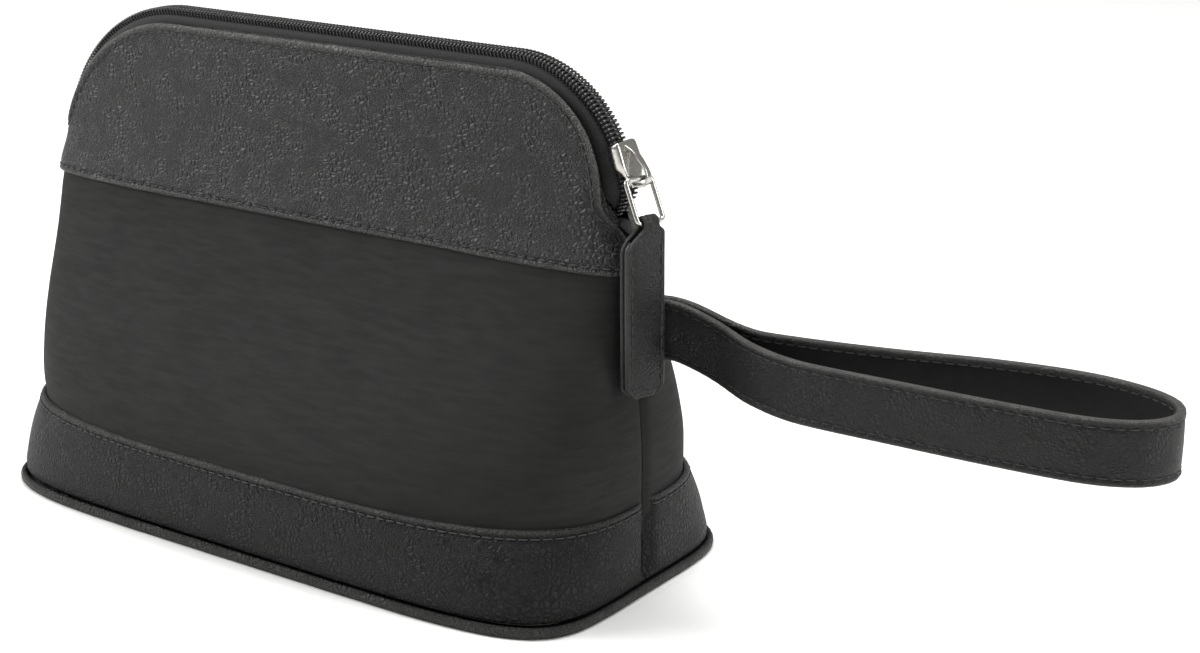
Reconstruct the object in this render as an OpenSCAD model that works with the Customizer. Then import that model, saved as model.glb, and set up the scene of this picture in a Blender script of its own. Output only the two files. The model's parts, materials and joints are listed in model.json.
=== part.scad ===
/* [Bag] */
// Length of the bag at its base, along X
bag_l = 221; // [200:1:250]
// Depth of the bag at its base, along Y
bag_d = 103; // [90:1:120]
// Height of the bag to the top of the zip
bag_h = 150; // [145:1:160]
// Height of the leather band round the foot of the bag
foot_band_h = 27.6; // [20:0.2:34]
// Height at which the top band starts
top_band_z = 93.9; // [85:0.2:100]
// Half depth of the bag where the top band starts
waist_d = 14; // [12:0.5:18]
// Height of the line on which the mouth folds open
fold_z = 125; // [123:0.5:127]

/* [Zip] */
// Radius of the zip's left corner, to the top of the coil
left_r = 54; // [50:0.5:58]
// Radius of the zip's right corner, to the top of the coil
right_r = 38.5; // [36:0.5:42]
// Width of one row of the zip's coil
coil_w = 2.3; // [2:0.1:2.6]
// Angle of the closed slider up the right corner
slider_angle = 17; // [15:1:19]
// Length of the slider
slider_l = 12.6; // [11:0.2:14]

/* [Pull tab] */
// Length of the leather pull tab
tab_l = 50; // [40:1:51]
// Width of the leather pull tab
tab_w = 13.2; // [12:0.2:13.4]
// Turn of the hanging tab away from the length of the bag
tab_yaw = 14; // [13:1:18]

/* [Wrist strap] */
// Width of the wrist strap
strap_w = 17; // [14:0.5:20]
// Thickness of one of the strap's two layers
strap_t = 1.2; // [0.8:0.1:1.4]

/* [Hidden] */

black_leather = [0.13, 0.13, 0.13];
smooth_leather = [0.19, 0.19, 0.19];
lining_cloth = [0.09, 0.09, 0.10];
zip_black = [0.05, 0.05, 0.05];
nickel = [0.80, 0.79, 0.76];
board_grey = [0.45, 0.43, 0.40];

around = 36;           // steps of a wall from one side seam to the other
low_levels = [0, 10, 16, 22, 27.6, 34, 42, 52, 62, 72, 82, 90, 93.9, 99, 103, 107, 110, 113, 118];
mouth_rows = 7;        // rows of a wall above the fold
skin = 1.2;            // thickness of a leather layer
under = 1.3;           // depth at which the middle panel lies under the bands
lining_in = 2.7;       // depth of the lining below the outer face
lining_t = 0.5;
lining_top = 138;      // the lining ends here, below the zip's tape
welt_h = 3.2;          // height of the lip round the foot
welt_out = 0.8;        // how far the lip stands out of the foot band
seam_gap = 0.15;       // half the gap between front and back at a side seam
mouth_half = 6;        // half the distance between the two edges of the mouth
edge_drop = 4.25;      // drop of the mouth's edge below the top of the coil
cut = 0.15;            // half the gap between a wall and the part that folds
foot_len = bag_l / 2;
foot_dep = bag_d / 2;
band_dep = foot_dep - 1.3;

left_c = [-61, bag_h - left_r];      // centres of the zip's two corners, X and Z
right_c = [66.5, bag_h - right_r];
edge_top = bag_h - edge_drop;
right_in = 6.3;                      // drop of the mouth's edge at the right zip end
left_max = -left_c[0] + left_r;
right_max = right_c[0] + right_r;
zip_cut_z = 129;                     // the zip is fixed below this height
left_cut_a = asin((zip_cut_z - left_c[1]) / left_r);
right_cut_a = asin((zip_cut_z - right_c[1]) / right_r);
zip_gap_a = 0.4;
left_end_a = 8;
right_end_a = -5;
tape_end_z = 112.5;                  // below this the mouth is too narrow for the tape's legs

// ---- Outline of the bag: a superellipse at each height ----

function ease(a, b, x) = let (u = max(0, min(1, (x - a) / (b - a)))) u * u * (3 - 2 * u);

function hermite(x0, x1, y0, y1, m0, m1, x) =
    let (h = x1 - x0, u = (x - x0) / h, u2 = u * u, u3 = u2 * u)
    (2 * u3 - 3 * u2 + 1) * y0 + (u3 - 2 * u2 + u) * h * m0
    + (3 * u2 - 2 * u3) * y1 + (u3 - u2) * h * m1;

// Half depth of the bag at height z
function half_depth(z) =
    z < foot_band_h ? hermite(0, foot_band_h, foot_dep, band_dep, -0.02, -0.22, z)
    : z < top_band_z ? hermite(foot_band_h, top_band_z, band_dep, waist_d, -0.22, -0.33, z)
    : hermite(top_band_z, edge_top, waist_d, mouth_half, -0.33, -0.14, z);

// Half length towards the right side seam, and on up the right corner
function right_len(z) =
    z < right_c[1]
    ? foot_len - 3.1 * ease(36, 80, z)
      - (foot_len - 3.1 - right_max + right_in) * ease(96, right_c[1], z)
    : let (r = right_r - right_in + (right_in - edge_drop) * ease(right_c[1], 140, z))
      right_c[0] + sqrt(max(0, r * r - pow(z - right_c[1], 2)));

// Half length towards the left side seam, and on up the left corner
function left_len(z) =
    z < left_c[1]
    ? foot_len + (left_max - foot_len) * ease(0, left_c[1], z)
    : let (r = left_r - edge_drop * ease(left_c[1], 110, z))
      -left_c[0] + sqrt(max(0, r * r - pow(z - left_c[1], 2)));

// Squareness of the outline: square at the foot, round above the foot band
function squareness(z) =
    z < foot_band_h ? 5.7 - 2.5 * z / foot_band_h
    : 3.2 + 2.1 * min(1, (z - foot_band_h) / (top_band_z - foot_band_h));

// Half distance between front and back walls at a side seam or the mouth's edge
function mouth(z) = seam_gap + (mouth_half - seam_gap) * ease(99, 113, z);

// Point of the front wall: t runs from the right seam (0) to the left (180), d is the depth
function wall(t, z, d) =
    let (q = 2 / squareness(z),
         c = cos(t),
         reach = (c > 0 ? right_len(z) : left_len(z)) - d,
         inner = max(seam_gap, mouth(z) - d),
         outer = half_depth(z) - d)
    [sign(c) * reach * pow(abs(c), q), -inner - (outer - inner) * pow(max(0, sin(t)), q), z];

// Heights at which every wall has a row, so that the layers keep their distance
levels = concat(low_levels,
                [for (k = [0:mouth_rows]) fold_z + (edge_top - fold_z) * sin(90 * k / mouth_rows)]);

// Point of a layer, straight between the levels below and above it
function layer_point(t, z, d) =
    let (k = max([for (i = [0:len(levels) - 2]) if (levels[i] <= z) i]),
         u = (z - levels[k]) / (levels[k + 1] - levels[k]))
    (1 - u) * wall(t, levels[k], d) + u * wall(t, levels[k + 1], d);

// A front wall between two heights and two depths
module wall_piece(z0, z1, d0, d1) {
    heights = concat([z0], [for (z = levels) if (z > z0 + 0.1 && z < z1 - 0.1) z], [z1]);
    rows = len(heights) - 1;
    n = around + 1;
    layer = n * (rows + 1);
    pts = [for (d = [d0, d1]) for (z = heights) for (i = [0:around]) layer_point(180 * i / around, z, d)];
    skin_faces = [for (k = [0:rows - 1]) for (i = [0:around - 1])
        [k * n + i, k * n + i + 1, (k + 1) * n + i + 1, (k + 1) * n + i]];
    back_faces = [for (f = skin_faces) [for (j = [3:-1:0]) f[j] + layer]];
    low = [for (i = [0:around - 1]) [i + 1, i, i + layer, i + 1 + layer]];
    high = [for (i = [0:around - 1]) let (o = rows * n + i) [o, o + 1, o + 1 + layer, o + layer]];
    right = [for (k = [0:rows - 1]) let (o = k * n) [o, o + n, o + n + layer, o + layer]];
    left = [for (k = [0:rows - 1]) let (o = k * n + around) [o + n, o, o + layer, o + n + layer]];
    polyhedron(pts, concat(skin_faces, back_faces, low, high, right, left), convexity = 8);
}

module at_back() {
    mirror([0, 1, 0]) children();
}

// Plan outline of the foot, set in from the lip's outer edge
module foot_outline(inset) {
    q = 2 / squareness(0);
    polygon([for (i = [0:2 * around - 1])
        let (t = 180 * (i + 0.5) / around)
        [sign(cos(t)) * (foot_len - inset) * pow(abs(cos(t)), q),
         sign(sin(t)) * (foot_dep - inset) * pow(abs(sin(t)), q)]]);
}

module base_panel() {
    color(black_leather)
    linear_extrude(1.6) foot_outline(skin + 0.05);
}

module base_welt() {
    color(black_leather)
    linear_extrude(welt_h)
    difference() {
        foot_outline(-welt_out);
        foot_outline(skin);
    }
}

module base_board() {
    color(board_grey)
    translate([0, 0, 1.65]) linear_extrude(1.5) foot_outline(4);
}

module base_lining() {
    color(lining_cloth)
    translate([0, 0, 3.2]) linear_extrude(0.6) foot_outline(3.4);
}

module foot_band() {
    color(black_leather)
    wall_piece(welt_h + 0.05, foot_band_h, 0, skin);
}

module middle_panel() {
    color(smooth_leather)
    wall_piece(foot_band_h - 5, top_band_z + 5, under, under + skin);
}

module top_band() {
    color(black_leather)
    wall_piece(top_band_z, fold_z - cut, 0, skin);
}

module top_band_mouth() {
    color(black_leather)
    wall_piece(fold_z + cut, edge_top - 0.02, 0, skin);
}

module side_lining() {
    color(lining_cloth)
    wall_piece(4, fold_z - cut, lining_in, lining_in + lining_t);
}

module mouth_lining() {
    color(lining_cloth)
    wall_piece(fold_z + cut, lining_top, lining_in, lining_in + lining_t);
}

// Tape sewn over the raw edges of a side seam, inside the lining
module seam_binding(side) {
    levels = [for (k = [0:12]) 6 + 7 * k];
    len_at = function (z) side > 0 ? right_len(z) : left_len(z);
    color(lining_cloth)
    translate([0, 3, 0])
    rotate([90, 0, 0])
    linear_extrude(6)
    polygon(concat(
        [for (z = levels) [side * (len_at(z) - 3.4), z]],
        [for (k = [12:-1:0]) [side * (len_at(levels[k]) - 4.4), levels[k]]]));
}

// ---- Zip: profiles in radius and half width, swept along the mouth ----

module tape_profile(r) {
    polygon([[r - 2.3, 0.9], [r - 2.3, 3.1], [r - 4.4, 4.4], [r - 5.6, 4.45],
             [r - 5.6, 3.95], [r - 4.6, 3.9], [r - 2.8, 2.8], [r - 2.8, 0.9]]);
}

module coil_profile(r) {
    polygon([[r - 2.2, 0.8], [r - 2.2, 0.8 + coil_w], [r - 0.6, 0.8 + coil_w],
             [r, 0.2 + coil_w], [r, 1.4], [r - 0.6, 0.8]]);
}

// A profile turned about a corner of the zip, from angle a0 up to a1, front half
module corner_sweep(side, a0, a1) {
    centre = side > 0 ? right_c : left_c;
    translate([centre[0], 0, centre[1]])
    mirror([side > 0 ? 0 : 1, 0, 0])
    rotate([90, 0, 0])
    rotate([0, 0, a0])
    rotate_extrude(angle = a1 - a0, $fn = 96)
    children();
}

// A profile run straight along the top of the bag, front half
module top_sweep() {
    translate([right_c[0], 0, right_c[1]])
    rotate([0, -90, 0])
    linear_extrude(right_c[0] - left_c[0])
    mirror([0, 1, 0])
    children();
}

module tape_end(side) {
    r = side > 0 ? right_r : left_r;
    a0 = asin((tape_end_z - (side > 0 ? right_c[1] : left_c[1])) / r);
    a1 = (side > 0 ? right_cut_a : left_cut_a) - zip_gap_a;
    color(zip_black)
    for (m = [0, 1]) mirror([0, m, 0]) corner_sweep(side, a0, a1) tape_profile(r);
}

module coil_end(side) {
    r = side > 0 ? right_r : left_r;
    a0 = side > 0 ? right_end_a : left_end_a;
    a1 = (side > 0 ? right_cut_a : left_cut_a) - zip_gap_a;
    color(zip_black)
    for (m = [0, 1]) mirror([0, m, 0]) corner_sweep(side, a0, a1) coil_profile(r);
}

module zip_tape() {
    color(zip_black) {
        corner_sweep(1, right_cut_a + zip_gap_a, 90) tape_profile(right_r);
        corner_sweep(-1, left_cut_a + zip_gap_a, 90) tape_profile(left_r);
        top_sweep() tape_profile(right_r);
    }
}

module zip_coil() {
    color(zip_black) {
        corner_sweep(1, right_cut_a + zip_gap_a, 90) coil_profile(right_r);
        corner_sweep(-1, left_cut_a + zip_gap_a, 90) coil_profile(left_r);
        top_sweep() coil_profile(right_r);
    }
}

// Leather end tab that closes the narrow gap below an end of the zip
module zip_tab(side) {
    low = side > 0 ? 103.2 : 99.5;
    high = side > 0 ? 106.5 : 102.8;
    color(black_leather)
    hull()
    for (z = [low, high]) {
        reach = side > 0 ? right_len(z) : left_len(z);
        for (m = [-1, 1])
            translate([side * (reach - 0.4), m * max(0.06, mouth(z) - 1.8), z])
            cube([2.2, 0.1, 0.1], center = true);
    }
}

// ---- Slider, link and pull tab ----

// Frame at the slider: X outwards from the corner's centre, Z up along the zip
module slider_frame() {
    translate([right_c[0], 0, right_c[1]])
    rotate([0, -slider_angle, 0])
    children();
}

slider_half_a = slider_l / 2 / right_r * 180 / PI;

// Bar of rectangular section that follows the zip under the slider's outline
module slider_arc(r0, r1, y0, y1) {
    rotate([90, 0, 0])
    rotate([0, 0, -slider_half_a - 2])
    rotate_extrude(angle = 2 * slider_half_a + 4, $fn = 96)
    polygon([[r0, y0], [r1, y0], [r1, y1], [r0, y1]]);
}

module slider_body() {
    r = right_r;
    half = slider_l / 2;
    color(nickel)
    slider_frame() {
        intersection() {
            union() {
                slider_arc(r + 0.35, r + 1.5, -4.6, 4.6);
                slider_arc(r - 1.9, r + 0.4, 3.45, 4.6);
                slider_arc(r - 1.9, r + 0.4, -4.6, -3.45);
                slider_arc(r - 4.6, r - 3.4, -2.2, 2.2);
            }
            rotate([90, 0, 90])
            linear_extrude(r + 10)
            polygon([[-2.4, -half], [2.4, -half], [4.7, -0.8], [4.4, half], [-4.4, half], [-4.7, -0.8]]);
        }
        translate([r - 3.5, -0.5, -half + 0.8]) cube([4, 1, 4]);
    }
}

bridge_w = 2.4;
wire_d = 1.4;
bar_out = 3.7;             // height of the link's bar above the top of the coil
bar_along = -4.3;          // and its place along the slider

module slider_bridge() {
    r = right_r + 1.5;
    color(nickel)
    slider_frame()
    translate([0, bridge_w / 2, 0])
    rotate([90, 0, 0])
    linear_extrude(bridge_w)
    difference() {
        polygon([[r, -6.1], [r + 2.8, -6.3], [r + 4.2, -5.3], [r + 4.5, -2.6], [r + 2.8, 3], [r, 5]]);
        polygon([[r - 0.01, -5.3], [r + 2.5, -5.5], [r + 3.4, -4.9], [r + 3.6, -3],
                 [r + 2, 2], [r - 0.01, 3.4]]);
    }
}

// The link: a rectangle of wire whose upper bar hangs in the bridge
link_half = 4.5;           // half its width, to the wire's middle
link_bend = 0.9;           // radius of its corners, to the wire's middle
link_l = 12;               // length of its sides, to the wire's middle
link_lean = 26;            // lean of its sides away from hanging straight down
link_shift = 2;            // how far it is pushed sideways in the bridge
tab_shift = 1;             // and how far the tab is pushed sideways on it
tab_across = [sin(tab_yaw), cos(tab_yaw), 0];
tab_out = [cos(tab_yaw), -sin(tab_yaw), 0];
bar_r = right_r + bar_out;
bridge_at = [right_c[0] + bar_r * cos(slider_angle) - bar_along * sin(slider_angle), 0,
             right_c[1] + bar_r * sin(slider_angle) + bar_along * cos(slider_angle)];
link_top = bridge_at - link_shift * tab_across;
link_low = link_top + link_l * (sin(link_lean) * tab_out - cos(link_lean) * [0, 0, 1]);
tab_top = link_low - tab_shift * tab_across;

module wire_bar(x0, x1) {
    translate([x0, 0, 0]) rotate([0, 90, 0]) cylinder(d = wire_d, h = x1 - x0, $fn = 24);
}

module wire_bend() {
    rotate_extrude(angle = 90, $fn = 48) translate([link_bend, 0]) circle(d = wire_d, $fn = 24);
}

module pull_link() {
    w = link_half - link_bend;
    h = link_l - link_bend;
    color(nickel)
    translate(link_top)
    rotate([0, 0, -tab_yaw])
    rotate([0, -link_lean, 0])
    rotate([90, 0, 90]) {
        wire_bar(-w, w);
        translate([0, -link_l, 0]) wire_bar(-w, w);
        for (side = [-1, 1]) translate([side * link_half, 0, 0]) rotate([0, 0, -90]) wire_bar(link_bend, h);
        translate([w, -link_bend, 0]) wire_bend();
        translate([-w, -link_bend, 0]) rotate([0, 0, 90]) wire_bend();
        translate([-w, -h, 0]) rotate([0, 0, 180]) wire_bend();
        translate([w, -h, 0]) rotate([0, 0, 270]) wire_bend();
    }
}

// Frame at the tab: Y across the tab, X out of its face, Z up, origin on the link's wire
module tab_frame() {
    translate(tab_top)
    rotate([0, 0, -tab_yaw])
    children();
}

tab_t = 4;
tab_eye = wire_d / 2 + 0.2;
tab_drop = tab_l - tab_t / 2;
neck_half = 2.6;             // half the width of the neck that goes round the link
shoulder_z = -1.4;
tab_aside = 2;               // how far the tab's middle lies to the front of its neck
corner = 2.4;
core_t = 1.2;              // thickness of the stiffener between the tab's two legs

module tab_outline() {
    near = -tab_w / 2 - tab_aside;
    far = tab_w / 2 - tab_aside;
    rotate([90, 0, 90])
    translate([0, 0, -tab_t])
    linear_extrude(2 * tab_t)
    polygon([[-neck_half, tab_t], [neck_half, tab_t], [neck_half, shoulder_z], [far, shoulder_z - 1.4],
             [far, corner - tab_drop], [far - corner, -tab_drop], [near + corner, -tab_drop],
             [near, corner - tab_drop], [near, shoulder_z - 6], [-neck_half, shoulder_z]]);
}

// One leather strip folded over the link, both legs hanging
module pull_tab_leather() {
    color(black_leather)
    tab_frame()
    intersection() {
        tab_outline();
        rotate([90, 0, 0])
        translate([0, 0, tab_aside - tab_w / 2])
        linear_extrude(tab_w)
        difference() {
            union() {
                circle(d = tab_t, $fn = 48);
                translate([-tab_t / 2, -tab_drop]) square([tab_t, tab_drop]);
            }
            circle(r = tab_eye, $fn = 48);
            translate([-core_t / 2 - 0.05, 3 - tab_drop]) square([core_t + 0.1, tab_drop - 10]);
        }
    }
}

module pull_tab_core() {
    color(board_grey)
    tab_frame()
    intersection() {
        tab_outline();
        translate([-core_t / 2, 1 - tab_aside - tab_w / 2, 3.2 - tab_drop])
        cube([core_t, tab_w - 2, tab_drop - 10.4]);
    }
}

// ---- Wrist strap: a ribbon on edge, both ends sewn in the right side seam ----

strap_root_z = 77.5;       // mid height of the strap where it leaves the seam
strap_sag = 6;
strap_route = [
    [108, 1.3], [111, 2.7], [114, 3.8], [118, 4.6], [126, 4.7], [132, 3.8], [138, 1.6], [146, -2.2],
    [155, -5.4], [165, -6.8], [187, -6.4], [212, -5.8], [236, -4], [248, 0.2], [254, 6.6],
    [254.6, 13.6], [250, 20.6], [240, 25.2], [224, 26.8], [202, 23.4], [176, 16],
    [152, 10.8], [134, 8.6], [120, 8], [114, 6.9], [111, 5.7], [108, 4.25]
];
strap_steps = 3;

// Catmull-Rom point between the route's points i and i + 1
function route_point(i, u) =
    let (n = len(strap_route) - 1,
         a = strap_route[max(0, i - 1)], b = strap_route[i],
         c = strap_route[min(n, i + 1)], d = strap_route[min(n, i + 2)])
    0.5 * (2 * b + (c - a) * u + (2 * a - 5 * b + 4 * c - d) * u * u
           + (3 * b - a - 3 * c + d) * u * u * u);

strap_line = concat(
    [for (i = [0:len(strap_route) - 2]) for (k = [0:strap_steps - 1]) route_point(i, k / strap_steps)],
    [strap_route[len(strap_route) - 1]]);

function line_side(i) =
    let (n = len(strap_line) - 1, v = strap_line[min(n, i + 1)] - strap_line[max(0, i - 1)])
    [v[1], -v[0]] / norm(v);

function strap_z(x) = strap_root_z - strap_sag * ease(110, 142, x);

// Layer of the strap between two distances from its middle, outwards positive
module strap_layer(o0, o1) {
    n = len(strap_line);
    pts = [for (i = [0:n - 1]) for (c = [[o0, -1], [o1, -1], [o1, 1], [o0, 1]])
        let (p = strap_line[i] + line_side(i) * c[0])
        [p[0], p[1], strap_z(strap_line[i][0]) + c[1] * strap_w / 2]];
    sides = [for (i = [0:n - 2]) for (j = [0:3]) let (k = (j + 1) % 4)
        [4 * i + j, 4 * i + k, 4 * i + 4 + k, 4 * i + 4 + j]];
    polyhedron(pts, concat(sides, [[3, 2, 1, 0], [for (j = [0:3]) 4 * (n - 1) + j]]), convexity = 6);
}

module strap_outer() {
    color(black_leather)
    strap_layer(0.03, strap_t);
}

module strap_lining() {
    color(smooth_leather)
    strap_layer(-strap_t, -0.03);
}

base_panel();
base_welt();
base_board();
base_lining();
foot_band();  // front_foot_band
at_back() foot_band();  // back_foot_band
middle_panel();  // front_middle_panel
at_back() middle_panel();  // back_middle_panel
top_band();  // front_top_band
at_back() top_band();  // back_top_band
side_lining();  // front_lining
at_back() side_lining();  // back_lining
seam_binding(-1);  // left_seam_binding
seam_binding(1);  // right_seam_binding
tape_end(-1);  // left_zip_tape_end
tape_end(1);  // right_zip_tape_end
coil_end(-1);  // left_coil_end
coil_end(1);  // right_coil_end
zip_tab(-1);  // left_zip_tab
zip_tab(1);  // right_zip_tab
top_band_mouth();  // front_top_band_mouth
mouth_lining();  // front_mouth_lining
zip_tape();  // front_zip_tape
zip_coil();  // front_zip_coil
at_back() top_band_mouth();  // back_top_band_mouth
at_back() mouth_lining();  // back_mouth_lining
at_back() zip_tape();  // back_zip_tape
at_back() zip_coil();  // back_zip_coil
slider_body();
slider_bridge();
pull_link();
pull_tab_leather();
pull_tab_core();
strap_outer();
strap_lining();
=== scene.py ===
"""Looks of a black leather makeup bag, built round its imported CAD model. Lengths are in millimetres."""
import json
import math

import bpy
import numpy as np
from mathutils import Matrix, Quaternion, Vector


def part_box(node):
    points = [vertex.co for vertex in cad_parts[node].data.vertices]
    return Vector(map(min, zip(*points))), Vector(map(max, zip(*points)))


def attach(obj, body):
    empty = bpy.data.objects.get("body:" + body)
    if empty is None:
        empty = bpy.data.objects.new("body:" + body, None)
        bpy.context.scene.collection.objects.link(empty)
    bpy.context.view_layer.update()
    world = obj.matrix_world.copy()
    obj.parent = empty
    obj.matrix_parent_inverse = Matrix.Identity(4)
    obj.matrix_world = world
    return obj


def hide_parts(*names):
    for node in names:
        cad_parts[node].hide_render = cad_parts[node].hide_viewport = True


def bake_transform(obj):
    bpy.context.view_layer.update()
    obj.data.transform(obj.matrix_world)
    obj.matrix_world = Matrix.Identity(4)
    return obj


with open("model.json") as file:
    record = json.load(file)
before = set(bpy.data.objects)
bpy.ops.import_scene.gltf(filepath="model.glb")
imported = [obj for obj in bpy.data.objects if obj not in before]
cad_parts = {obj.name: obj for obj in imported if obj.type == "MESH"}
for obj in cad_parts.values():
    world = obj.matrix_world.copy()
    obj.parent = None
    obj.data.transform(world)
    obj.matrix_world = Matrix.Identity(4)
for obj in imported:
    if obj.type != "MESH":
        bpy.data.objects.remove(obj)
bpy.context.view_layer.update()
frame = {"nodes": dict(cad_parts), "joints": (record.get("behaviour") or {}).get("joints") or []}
MM = 0.001
joints = {j["name"]: j for j in frame["joints"]}


def low(node):
    return np.array(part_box(node)[0]) / MM


def high(node):
    return np.array(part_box(node)[1]) / MM


# ---- Sizes: the same driving dimensions as the CAD source, most of them read from the frame ----

WELT_OUT = 0.8
FOOT_LEN = high("base_welt")[0] - WELT_OUT
FOOT_DEP = high("base_welt")[1] - WELT_OUT
BAND_DEP = FOOT_DEP - 1.3
FOOT_Z = high("front_foot_band")[2]
TOP_Z = low("front_top_band")[2]
BAG_H = high("front_zip_coil")[2]
WAIST_D = 14.0
LEFT_R, RIGHT_R = 54.0, 38.5
EDGE_DROP, RIGHT_IN = 4.25, 6.3
EDGE_TOP = BAG_H - EDGE_DROP
SEAM_GAP, MOUTH_HALF = 0.15, 6.0
LEFT_C = (-61.0, BAG_H - LEFT_R)
RIGHT_C = (66.5, BAG_H - RIGHT_R)
LEFT_MAX = LEFT_R - LEFT_C[0]
RIGHT_MAX = RIGHT_R + RIGHT_C[0]
SLIDER_ANGLE = math.radians(17)
LINK_TOP = np.array(joints["link_swing"]["pos_m"]) / MM
TAB_TOP = np.array(joints["tab_swing"]["pos_m"]) / MM
ACROSS = -np.array(joints["tab_swing"]["axis"], float)
OUT = np.array([ACROSS[1], -ACROSS[0], 0.0])
UP = np.array([0.0, 0.0, 1.0])


def ease(a, b, x):
    u = np.clip((np.asarray(x, float) - a) / (b - a), 0, 1)
    return u * u * (3 - 2 * u)


def unit(v):
    return v / np.maximum(np.linalg.norm(v, axis=-1, keepdims=True), 1e-9)


def hermite(x0, x1, y0, y1, m0, m1, x):
    h = x1 - x0
    u = (x - x0) / h
    return ((2 * u**3 - 3 * u**2 + 1) * y0 + (u**3 - 2 * u**2 + u) * h * m0
            + (3 * u**2 - 2 * u**3) * y1 + (u**3 - u**2) * h * m1)


# ---- The bag's outline, a superellipse at each height, as in the CAD source ----

def half_depth(z):
    foot = hermite(0, FOOT_Z, FOOT_DEP, BAND_DEP, -0.02, -0.22, z)
    middle = hermite(FOOT_Z, TOP_Z, BAND_DEP, WAIST_D, -0.22, -0.33, z)
    top = hermite(TOP_Z, EDGE_TOP, WAIST_D, MOUTH_HALF, -0.33, -0.14, z)
    return np.where(z < FOOT_Z, foot, np.where(z < TOP_Z, middle, top))


def right_len(z):
    straight = (FOOT_LEN - 3.1 * ease(36, 80, z)
                - (FOOT_LEN - 3.1 - RIGHT_MAX + RIGHT_IN) * ease(96, RIGHT_C[1], z))
    r = RIGHT_R - RIGHT_IN + (RIGHT_IN - EDGE_DROP) * ease(RIGHT_C[1], 140, z)
    round_part = RIGHT_C[0] + np.sqrt(np.maximum(0, r * r - (z - RIGHT_C[1]) ** 2))
    return np.where(z < RIGHT_C[1], straight, round_part)


def left_len(z):
    straight = FOOT_LEN + (LEFT_MAX - FOOT_LEN) * ease(0, LEFT_C[1], z)
    r = LEFT_R - EDGE_DROP * ease(LEFT_C[1], 110, z)
    round_part = -LEFT_C[0] + np.sqrt(np.maximum(0, r * r - (z - LEFT_C[1]) ** 2))
    return np.where(z < LEFT_C[1], straight, round_part)


def squareness(z):
    return np.where(z < FOOT_Z, 5.7 - 2.5 * z / FOOT_Z,
                    3.2 + 2.1 * np.clip((z - FOOT_Z) / (TOP_Z - FOOT_Z), 0, 1))


def mouth(z):
    return SEAM_GAP + (MOUTH_HALF - SEAM_GAP) * ease(99, 113, z)


def wall(t, z, d):
    """Points of the front wall: t is the angle from the right seam, z the height, d the depth."""
    q = 2 / squareness(z)
    c, s = np.cos(t), np.clip(np.sin(t), 0, None)
    reach = np.where(c > 0, right_len(z), left_len(z)) - d
    inner = np.maximum(SEAM_GAP, mouth(z) - d)
    x = np.sign(c) * reach * np.abs(c) ** q
    y = -inner - (half_depth(z) - d - inner) * s ** q
    return np.stack(np.broadcast_arrays(x, y, z), -1)


def row_angles(z, columns):
    """Angles that spread the columns (0 to 1) evenly along the wall at each height, and the rows' lengths."""
    w = np.linspace(0, 1, 260)
    g = w**3 / (w**3 + (1 - w) ** 3)
    dense = np.concatenate([g, 1 + g[1:]]) * math.pi / 2
    angles, lengths = [], []
    for h in z:
        p = wall(dense, np.full_like(dense, h), 0.0)
        s = np.concatenate([[0], np.cumsum(np.linalg.norm(np.diff(p, axis=0), axis=1))])
        angles.append(np.interp(columns * s[-1], s, dense))
        lengths.append(s[-1])
    return np.array(angles), np.array(lengths)


# ---- Smooth noise for the leather's slack ----

def lattice(i, j, k, seed):
    h = (i * 374761393 + j * 668265263 + k * 2246822519 + seed * 3266489917) & 0xFFFFFFFF
    h = ((h ^ (h >> 13)) * 1274126177) & 0xFFFFFFFF
    h = h ^ (h >> 16)
    return h / 2147483648.0 - 1.0


def ripple(p, size, seed):
    """Value noise from -1 to 1 whose features are about size millimetres; size may differ by axis."""
    q = p / np.asarray(size, float) + 1000.0
    base = np.floor(q)
    f = q - base
    f = f * f * (3 - 2 * f)
    base = base.astype(np.int64)
    total = 0.0
    for corner in range(8):
        o = np.array([corner & 1, corner >> 1 & 1, corner >> 2])
        weight = np.prod(np.where(o, f, 1 - f), axis=-1)
        total = total + weight * lattice(*(base[..., a] + o[a] for a in range(3)), seed)
    return total


# ---- Mesh building ----

def finish_mesh(name, verts, faces, material, slot, grain=None, painted_highlight=None, smooth=True):
    mesh = bpy.data.meshes.new(name)
    mesh.from_pydata((np.asarray(verts) * MM).tolist(), [], faces)
    mesh.validate()
    attribute = mesh.attributes.new("grain", "FLOAT_VECTOR", "POINT")
    attribute.data.foreach_set("vector", np.asarray(verts if grain is None else grain, np.float32).ravel())
    # Per-point amount of painted highlight, laid along folds and rolled edges to lighten the leather's colour
    # there.
    attribute = mesh.attributes.new("painted_highlight", "FLOAT", "POINT")
    painted_highlight = np.zeros(len(verts)) if painted_highlight is None else np.broadcast_to(painted_highlight, (len(verts),))
    attribute.data.foreach_set("value", np.asarray(painted_highlight, np.float32))
    if smooth:
        mesh.polygons.foreach_set("use_smooth", [True] * len(mesh.polygons))
    mesh.materials.append(material)
    obj = bpy.data.objects.new(name, mesh)
    bpy.context.scene.collection.objects.link(obj)
    return obj


def grid_faces(rows, cols, wrap_rows=False, wrap_cols=False, offset=0):
    r = np.arange(rows if wrap_rows else rows - 1)
    c = np.arange(cols if wrap_cols else cols - 1)
    r, c = np.meshgrid(r, c, indexing="ij")
    r2, c2 = (r + 1) % rows, (c + 1) % cols
    quads = np.stack([r * cols + c, r * cols + c2, r2 * cols + c2, r2 * cols + c], -1)
    return (quads.reshape(-1, 4) + offset).tolist()


def outward(faces, verts):
    """The same faces, turned if they enclose a negative volume."""
    v = np.asarray(verts)
    total = 0.0
    for f in faces:
        a = v[f[0]]
        for i in range(1, len(f) - 1):
            total += np.dot(a, np.cross(v[f[i]], v[f[i + 1]]))
    return faces if total > 0 else [list(reversed(f)) for f in faces]


def loop_solid(points):
    """Closed solid from a grid [stations, section, 3] of closed loops, with both ends capped."""
    n, m = points.shape[:2]
    faces = grid_faces(n, m, wrap_cols=True)
    faces.append(list(reversed(range(m))))
    faces.append([(n - 1) * m + i for i in range(m)])
    verts = points.reshape(-1, 3)
    return verts, outward(faces, verts)


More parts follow.
